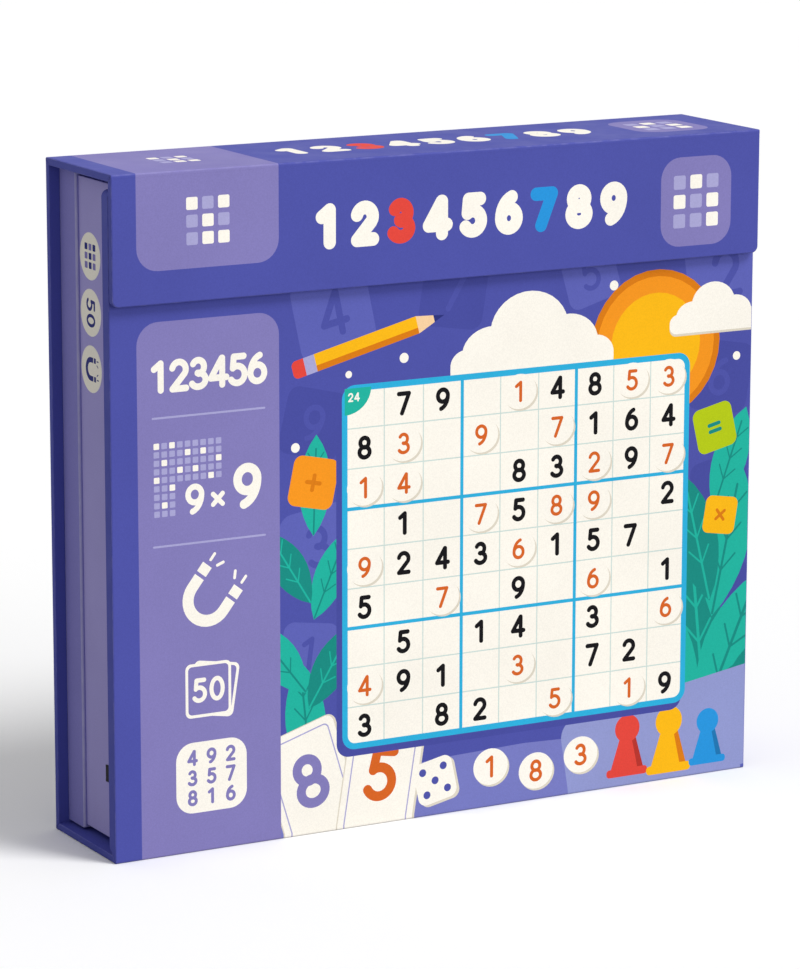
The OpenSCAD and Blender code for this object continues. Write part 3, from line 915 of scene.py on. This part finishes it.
def info_panel(pen, top):
    """The lavender column at the left of the cover, with its plain icons."""
    left, right = INFO_PANEL
    middle = (left + right) / 2
    pen.round_rect(LAVENDER, left, 0, right, top, 0, PANEL_R)
    pen.number(CREAM, [1, 2, 3, 4, 5, 6], middle, 169.5, 11.5, 0.2, 0.65)
    for y in (155.3, 110.5):
        pen.stroke(MIST, [(left + 5.8, y), (right - 5.8, y)], RULE_W)
    marks = {(row, (4 * row + 2 * turn) % N) for row in range(N) for turn in range(2)}
    hidden = {(row, column) for row in range(5, N) for column in range(3, N)}
    grid_icon(pen, middle - 8.2, 133.7, 26.6, marks, N, hidden)
    pen.glyph(CREAM, 9, middle - 5.6, 125.8, 11, 0.19)
    pen.glyph(CREAM, "times", middle + 3.2, 125, 9, 0.19)
    pen.glyph(CREAM, 9, middle + 14.6, 128.4, 16.4, 0.2)
    magnet_icon(pen, CREAM, middle - 1, 90, 21, -38)
    cards_icon(pen, middle - 1, 58, 21)
    pen.round_rect(CREAM, -106, 14.2, -78.6, 39.6, 6.5)
    for i, digit in enumerate([4, 9, 2, 3, 5, 7, 8, 1, 6]):
        pen.glyph(LAVENDER, digit, middle + (i % 3 - 1) * 7.4, 26.9 - (i // 3 - 1) * 7.2, 5.8, 0.2)


# The still life on the cover, from the middle of its lower edge
# Tiles in the tones of the ground: x, y, size, turn, digit
GROUND_TILES = [
    (-44, 186, 30, 12, 4), (4, 190, 26, -9, 7), (118, 188, 34, 8, 2), (-52, 148, 24, -14, 9),
    (60, 192, 22, 16, 5), (116, 150, 26, -10, 6), (-50, 104, 28, 9, 3), (117, 108, 24, 12, 8),
    (-54, 66, 22, -8, 1), (118, 66, 26, 7, 4),
]
# Leaves at the left, then at the right: x, y, length, width, turn, and 1 for the darker green
LEAVES = [
    (-53, 20, 44, 16, 96, 0), (-54, 46, 34, 14, 58, 1), (-55, 52, 34, 14, 128, 0), (-52, 78, 34, 13, 66, 0),
    (-53, 84, 32, 13, 122, 1), (-52, 108, 36, 13, 88, 0),
    (112, 18, 66, 24, 96, 1), (110, 20, 60, 24, 66, 0), (116, 22, 52, 20, 40, 1), (108, 24, 62, 22, 118, 0),
    (114, 60, 58, 20, 78, 0), (113, 66, 50, 18, 104, 1), (114, 100, 40, 15, 70, 0),
]
# Rings of the disc in the sky: ink and radius
SKY_RINGS = ((AMBER, 27.5), (ORANGE, 25), (YELLOW, 19))
# Loose discs: digit, x, y
LOOSE_DISCS = ((1, 20, 15), (8, 39, 11), (3, 58, 14.5))
# Dots in the sky: x, y, radius
SKY_DOTS = ((-16, 168, 1.8), (-38, 164, 1.3), (70, 187, 1.8), (123, 157, 1.6), (-59, 140, 1.7))


def tone_shapes(pen, places):
    """Number tiles in two tones of the ground, scattered over it."""
    for i, (x, y, size, turn, sign) in enumerate(places):
        tile(pen, (HAZE, DEEP)[i % 2], VIOLET, sign, x, y, size, turn)


def cover_art(pen):
    """The still life round the grid: sky and tiles above, leaves at the sides, pieces on a table below."""
    tone_shapes(pen, GROUND_TILES)
    for ink, radius in SKY_RINGS:
        pen.ellipse(ink, 88, 164, radius)
    cloud(pen, 34, 165, 0.95)
    cloud(pen, 112, 172, 0.55)
    pencil(pen, -60, 167, 62, 6.4, 14)
    for x, y, length, width, turn, darker in LEAVES:
        ink, vein = (PINE, TEAL) if darker else (TEAL, PINE)
        leaf(pen, ink, vein, x, y, length, width, turn)
    pen.put(LILAC, [(-68, -2)] + arc(32, -40, 190, 62, 122, 57) + [(136, -2)])
    for ink, x, y in ((HAZE, 99, 14), (PALE_LILAC, 98, 16)):
        pen.at(x, y, 9).round_rect(ink, -47, -19, 44, 19, 7)
    number_card(pen, LAVENDER, 8, -46, -5, 30, 46, 17)
    number_card(pen, RUST, 5, -29, -7, 30, 46, -9)
    tile(pen, ORANGE, AMBER, "plus", -52, 127, 18, -12)
    tile(pen, LIME, PINE, "equals", 114, 131, 17, 13)
    tile(pen, YELLOW, AMBER, "times", 117, 98, 14, -9)
    die(pen, -3, 13, 16, 12, [(-1, -1), (1, 1), (0, 0), (-1, 1), (1, -1)])
    for digit, x, y in LOOSE_DISCS:
        number_disc(pen, digit, x, y, 7.2, 6.8)
    pawn(pen, RED, BRICK, 78, 5, 22)
    pawn(pen, YELLOW, AMBER, 96, 4, 24)
    pawn(pen, SKY, OCEAN, 113, 5, 20)
    for x, y, radius in SKY_DOTS:
        pen.ellipse(CREAM, x, y, radius)


# The grid on the cover: left, low, right and high edges
GRID = (-39.6, 30, 101.7, 159)
INFO_TOP = 188.5


# Printed faces of the five boards
def cover_print(board):
    top = board.length / MM - EDGE_MARGIN
    page = board.sheet(board.corner, X, Z, FOLD_MARGIN, top, high_r=CORNER_R - EDGE_MARGIN)
    cover_art(page)
    info_panel(page, INFO_TOP)
    left, low, right, high = GRID
    page.round_rect(DEEP, left - 3.4, low - 3.6, right - 0.6, high - 1.6, 5)
    sudoku(page, *GRID)
    page.put(TEAL, [(left, high)] + arc(left, high, 10.5, 9.5, 270, 360))
    page.number(CREAM, [2, 4], left + 3.6, high - 3.2, **TAG_TYPE)
    page.build("cover_print", "front_cover")
    return page


def flap_print(board):
    low = board.corner.z / MM - board.length / MM + EDGE_MARGIN
    top = board.corner.z / MM - FOLD_MARGIN
    page = board.sheet(Vector((0, board.corner.y, 0)), X, Z, low, top, low_r=CORNER_R - EDGE_MARGIN)
    page.round_rect(LAVENDER, PANEL[0], PANEL_LOW, PANEL[1], top + 1, PANEL_R, 0)
    grid_icon(page, sum(PANEL) / 2, PANEL_ICON_Z, PANEL_ICON_SIZE, PANEL_CELLS)
    title(page, 217)
    emblem(page, 199.6, 231.9, 215.8)
    page.build("flap_print", "flap")


def top_print(board):
    half = board.length / MM / 2
    page = board.sheet(Vector((0, 0, board.corner.z)), X, Y, -half + FOLD_MARGIN, half - FOLD_MARGIN)
    page.rect(LAVENDER, PANEL[0], -half, PANEL[1], half)
    grid_icon(page, sum(PANEL) / 2, 0, 16, PANEL_CELLS)
    title(page, 0)
    emblem(page, -16, 16, 0)
    page.build("top_print", "top_spine")
    return page


def back_print(board):
    top = board.length / MM - FOLD_MARGIN
    page = board.sheet(Vector((0, board.corner.y, 0)), -X, Z, FOLD_MARGIN, top)
    columns, rows = (-104, -58, -12, 34), (28, 74, 120, 166, 212)
    places = [(x, y) for y in rows for x in columns]
    tone_shapes(page, [(x, y, 26, 11 - 7 * (i % 4), 1 + (i * 5) % N) for i, (x, y) in enumerate(places)])
    page.round_rect(LAVENDER, -PANEL[1], PANEL_LOW, -PANEL[0], top + 2, PANEL_R, 0)
    grid_icon(page, -sum(PANEL) / 2, PANEL_ICON_Z, PANEL_ICON_SIZE, PANEL_CELLS)
    page.round_rect(CREAM, -110, 34, 58, 190, 10)
    sudoku(page, -98, 50, 46, 176, 4)
    page.round_rect(LAVENDER, 70, 34, 116, 190, 10)
    magnet_icon(page, CREAM, 93, 158, 24, -38)
    cards_icon(page, 92, 112, 26)
    for y in (136, 88):
        page.stroke(MIST, [(76, y), (110, y)], RULE_W)
    for i, digit in enumerate((3, 7)):
        number_disc(page, digit, 84 + 17 * i, 62 - 6 * i, 9, 9)
    page.build("back_print", "back_case")


def bottom_print(board):
    front = -board.corner.y / MM
    low, high = front - board.length / MM + FOLD_MARGIN, front - FOLD_MARGIN
    page = board.sheet(Vector((0, 0, 0)), X, -Y, low, high)
    page.round_rect(LAVENDER, INFO_PANEL[0], high - 14, INFO_PANEL[1], high + 2, PANEL_R, 0)
    page.build("bottom_print", "bottom_spine")


# The puzzle on the inside of the cover and in the tray
CARD_R = 6
CARD_MARGIN = 0.3
CELL = 20
DISC_FACE_R = 8.1
DISC_DIGIT_H = 9.4


def inner_page(node, corner_r, paper):
    """A sheet in the place of a node that lies on the inside of the cover, its top towards the fold."""
    low, high, middle = box_of(node)
    half_w, half_h = (high.x - low.x) / 2 / MM, (high.z - low.z) / 2 / MM
    outline = round_rect(-half_w, -half_h, half_w, half_h, corner_r)
    page = Sheet(Vector((middle.x, high.y, middle.z)), X, -Z, [outline], paper)
    return page, half_w, half_h, (high.y - low.y) / MM


def play_sheet():
    """The play surface: a framed ground with a row of number tiles down each side."""
    page, half_w, half_h, thickness = inner_page("play_sheet", 0, LAVENDER)
    page.round_rect(MIST, -half_w + 4, -half_h + 3, half_w - 4, half_h - 3, 9)
    page.round_rect(LILAC, -half_w + 4.8, -half_h + 3.8, half_w - 4.8, half_h - 3.8, 8.2)
    for side in (-1, 1):
        for i in range(7):
            digit = 1 + (i * 4 + side) % N
            turn = 6 * side * (-1) ** i
            tile(page, HAZE, MIST, digit, side * (half_w - 10), (i - 3) * 27, 9, turn)
    page.build("play_sheet_print", "front_cover", "play_paper", thickness, ["play_sheet"])


def card_art(page, half_w, half_h, turn, number):
    """A puzzle with its printed digits, and the card's number on a tag in a corner."""
    reach = N * CELL / 2
    sudoku(page, -reach, -reach, reach, reach, turn, discs=False)
    page.round_rect(TEAL, -half_w + 8, half_h - 6.2, -half_w + 22, half_h - 1.6, 2)
    page.number(CREAM, number, -half_w + 15, half_h - 3.9, **TAG_TYPE)


def board_card():
    page, half_w, half_h, thickness = inner_page("board_card", CARD_R, CREAM)
    card_art(page, half_w, half_h, 0, [2, 4])
    page.build("board_card_print", "front_cover", "card", thickness, ["board_card"])


def disc_faces():
    """Printed faces of the discs on the board, one thin round label for each disc."""
    middle = box_of("board_card")[2]
    face_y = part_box("board_discs")[1].y + LABEL_T * MM
    spots = [
        ((column + 0.5 - N / 2) * CELL, (N / 2 - row - 0.5) * CELL, cell_digit(row, column))
        for row, kinds in enumerate(PUZZLE) for column, kind in enumerate(kinds) if kind == "o"
    ]
    outlines = [ellipse(x, y, DISC_FACE_R) for x, y, _ in spots]
    page = Sheet(Vector((middle.x, face_y, middle.z)), X, -Z, outlines, DISC_FACE)
    for x, y, digit in spots:
        page.glyph(RUST, digit, x, y, DISC_DIGIT_H, DISC_WEIGHT)
    page.build("board_disc_faces", "front_cover", "disc", LABEL_T)


def deck_face():
    """Printed face of the top card in the tray."""
    low, high, middle = box_of("puzzle_cards")
    half = (high.x - low.x) / 2 / MM - CARD_MARGIN
    origin = Vector((middle.x, low.y - LABEL_T * MM, middle.z))
    page = Sheet(origin, X, Z, [round_rect(-half, -half, half, half, CARD_R)], CREAM)
    card_art(page, half, half, 5, [2, 5])
    page.build("deck_face", "back_case", "card", LABEL_T)


def roll_face(sign):
    """Printed face of the first disc of a roll in the tray."""
    node = f"discs_{sign}"
    low, _, middle = box_of(node)
    origin = Vector((low.x - LABEL_T * MM, middle.y, middle.z))
    page = Sheet(origin, -Y, Z, [ellipse(0, 0, DISC_FACE_R)], DISC_FACE)
    page.glyph(RUST, sign, 0, 0, DISC_DIGIT_H, DISC_WEIGHT)
    page.build(node + "_face", "back_case", "disc", LABEL_T)


def side_marks():
    """Three round marks on the left wall of the inner tray, turned to read downwards."""
    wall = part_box("inner_tray_wrap")[0].x
    x, heights, radius = -2.1, (208.4, 188.9, 169.3), 8.25
    origin = Vector((wall - LABEL_T * MM, 0, 0))
    page = Sheet(origin, -Y, Z, [ellipse(x, z, radius) for z in heights], MARK_FACE)
    first, second, third = (page.at(x, z, -90) for z in heights)
    grid_icon(first, 0, 0, 9.6, {(0, 0), (1, 1), (2, 0), (1, 2)}, line=LAVENDER, fill=NAVY)
    second.number(NAVY, CARD_COUNT, 0, 0, 7, 0.17, 0.78)
    magnet_icon(third, NAVY, 0, -0.6, 9, 0)
    page.build("side_marks", "back_case", "tray_paper", LABEL_T)


# Case
flap = Board("flap_wrap", "flap_fold", -Z, Y)
top_spine = Board("top_spine_wrap", "top_spine_fold", -Y, -Z, "flap_fold")
back = Board("back_wrap", "back_fold", Z, -Y, "top_spine_fold")
bottom_spine = Board("bottom_spine_wrap", "cover_fold", Y, Z, "back_fold")
cover = Board("cover_wrap", "cover_fold", Z, Y)
for part in (flap, top_spine, back, bottom_spine, cover):
    part.paper()
flap_print(flap)
top_page = top_print(top_spine)
back_print(back)
bottom_print(bottom_spine)
cover_page = cover_print(cover)
# Inks that run on over the folds, taken beside the fold lines
BESIDE_FOLD = 0.4
panel_bands = top_page.bands(BESIDE_FOLD * top_spine.length / MM)
cover_bands = cover_page.bands(FOLD_MARGIN + BAND_MIN)
fold_strip("flap_fold_paper", "top_spine", "flap", FOLDS["flap_fold"], Y, -Z, panel_bands)
fold_strip("top_fold_paper", "back_case", "top_spine", FOLDS["top_spine_fold"], -Z, -Y, panel_bands)
fold_strip("back_fold_paper", "bottom_spine", "back_case", FOLDS["back_fold"], -Y, Z, [])
fold_strip("cover_fold_paper", "bottom_spine", "front_cover", FOLDS["cover_fold"], Y, Z, cover_bands)

# Trays and their inserts, rounded
RIM_R = 0.28
BASE_RIM_R = 0.85
INSERT_R = 0.3
SHELF_R = 0.2
base_tray = solid_copy("base_tray_wrap")
round_rim(base_tray, "base_tray_wrap", BASE_RIM_R)
soften(base_tray, RIM_R)
# Painted highlight: the round of the base tray's rim takes the pale worn tone
paint_rim_highlight(base_tray, "base_tray_wrap", BASE_RIM_R)
soft_piece(base_tray, "base_tray_wrap", "base_tray")
for node, radius in (
    ("inner_tray_wrap", RIM_R), ("disc_rail", INSERT_R), ("trough_dividers", INSERT_R),
    ("disc_shelf", SHELF_R), ("card_guides", INSERT_R),
):
    solid = solid_copy(node)
    soften(solid, radius)
    soft_piece(solid, node)


# Lift ribbon, woven, over the rim of the inner tray
RIBBON_TAIL = 11.5
RIBBON_CURL = 0.35
CURL_LENGTH = 4
TRAY_WALL = 2.2
FLOOR_R = 1.0
SELVEDGE = 0.7
SELVEDGE_FOOT = 1.3 * SELVEDGE
WEB_SHARE = 0.7


def bend(centre, start, radius, turn):
    """Points round a right-angled bend, from an angle in degrees, turning left for 1 and right for -1."""
    return arc(*centre, radius, radius, start, start + turn * 90)


def lift_ribbon():
    """The ribbon from its tail outside the wall, over the rim, down inside and along the floor."""
    low, high = (Vector(c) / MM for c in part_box("lift_ribbon"))
    wall, rim = (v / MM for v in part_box("inner_tray_wrap")[0].xy)
    thick = wall - low.x
    half = thick / 2
    outer_r = RIM_R + half
    inner = wall + TRAY_WALL
    tail = rim + RIBBON_TAIL
    steps = (1, 0.75, 0.5, 0.25, 0)
    line = [(wall - half - RIBBON_CURL * t * t, tail - CURL_LENGTH * (1 - t)) for t in steps]
    line += bend((wall + RIM_R, rim + RIM_R), 180, outer_r, 1)
    line += bend((inner - RIM_R, rim + RIM_R), 270, outer_r, 1)
    line += bend((inner + half + FLOOR_R, high.y - half - FLOOR_R), 180, FLOOR_R, -1)
    line.append((high.x, high.y - half))
    web = half * WEB_SHARE
    upper = [
        (low.z, half), (low.z + SELVEDGE, half), (low.z + SELVEDGE_FOOT, web),
        (high.z - SELVEDGE_FOOT, web), (high.z - SELVEDGE, half), (high.z, half)
    ]
    section = upper + [(z, -depth) for z, depth in upper[::-1]]
    mesh = bmesh.new()
    loops = []
    for point, side in with_sides(line):
        places = [(point + side * depth).to_3d() + Z * z for z, depth in section]
        loops.append([mesh.verts.new(place * MM) for place in places])
    tube(mesh, loops)
    name = "lift_ribbon_woven"
    dress(finished(mesh, name), name, "back_case", LOOKS["ribbon"], ["lift_ribbon"])


lift_ribbon()

# Cards and discs
play_sheet()
board_card()
disc_faces()
deck_face()
for sign in TITLE + ["times", "equals"]:
    roll_face(sign)
side_marks()

# Nodes that keep their own shape take the look of their slot
for name, slot in slots.items():
    node = frame["nodes"][name]
    if not node.material_slots:
        node.data.materials.append(None)
    for place in node.material_slots:
        place.material = LOOKS[slot]


# Studio
FLOOR_SIZE = 14
FLOOR_BOUNCE = srgb("B0B0B0")
AMBIENT = 0.5


def seen_directly(nodes):
    """One for rays from the camera, also by way of a gloss or a clear part, and zero for other light."""
    path = nodes.add("ShaderNodeLightPath")
    seen = path.outputs["Is Camera Ray"]
    for kind in ("Is Glossy Ray", "Is Transmission Ray"):
        either = {0: seen, 1: path.outputs[kind]}
        seen = nodes.add("ShaderNodeMath", either, operation="MAXIMUM").outputs[0]
    return seen


def studio_floor():
    """A wide floor that the camera sees white and that throws back less light than white would."""
    mesh = bmesh.new()
    bmesh.ops.create_grid(mesh, x_segments=1, y_segments=1, size=FLOOR_SIZE / 2)
    data = finished(mesh, "studio_floor")
    floor = add_object("studio_floor", data)
    look = Look("studio_floor")
    colour = look.mix(seen_directly(look), FLOOR_BOUNCE, WHITE)
    data.materials.append(look.finish(colour, 0.9, Specular_IOR_Level=0.0))


def studio_world():
    """A world that the camera sees white and whose light is weaker than that."""
    scene.world = bpy.data.worlds.new("studio_world")
    nodes = Nodes(scene.world)
    background = nodes.tree.nodes["Background"]
    strength = nodes.spread(seen_directly(nodes), AMBIENT, 1.0, 0, 1)
    nodes.feed(background.inputs["Strength"], strength)
    nodes.feed(background.inputs["Color"], WHITE)


def far_lamp(name, direction, softness, power):
    """A distant lamp that lights the whole floor alike and casts shadows with soft edges."""
    lamp = bpy.data.lights.new(name, "SUN")
    lamp.angle = math.radians(softness)
    lamp.energy = power
    obj = add_object(name, lamp)
    obj.rotation_euler = Vector(direction).to_track_quat("Z", "Y").to_euler()


studio_floor()
studio_world()
far_lamp("key_lamp", direction=(0.8, -1, 1.55), softness=22, power=1.8)
far_lamp("fill_lamp", direction=(0.5, -1, 0.25), softness=30, power=0.95)

# Camera at the photograph's angle
AZIMUTH, ELEVATION, ROLL = (math.radians(a) for a in (-28.943, 11.897, 0.09))
EYE = Vector((-728.798, -1309.582, 432.531)) * MM
FOCAL_PX, IMAGE_H, SENSOR = 4269.303, 969, 36.0
camera_data = bpy.data.cameras.new("camera")
camera_data.sensor_width = SENSOR
camera_data.lens = FOCAL_PX * SENSOR / IMAGE_H
camera = add_object("camera", camera_data)
across = Vector((math.sin(AZIMUTH), -math.cos(AZIMUTH), 0))
away = across * math.cos(ELEVATION) + Z * math.sin(ELEVATION)
level = Z.cross(away).normalized()
raised = away.cross(level)
rolled = Matrix((level, raised, away)).transposed() @ Matrix.Rotation(ROLL, 3, "Z")
camera.matrix_world = Matrix.Translation(EYE) @ rolled.to_4x4()
scene.camera = camera
scene.view_settings.view_transform = "Standard"
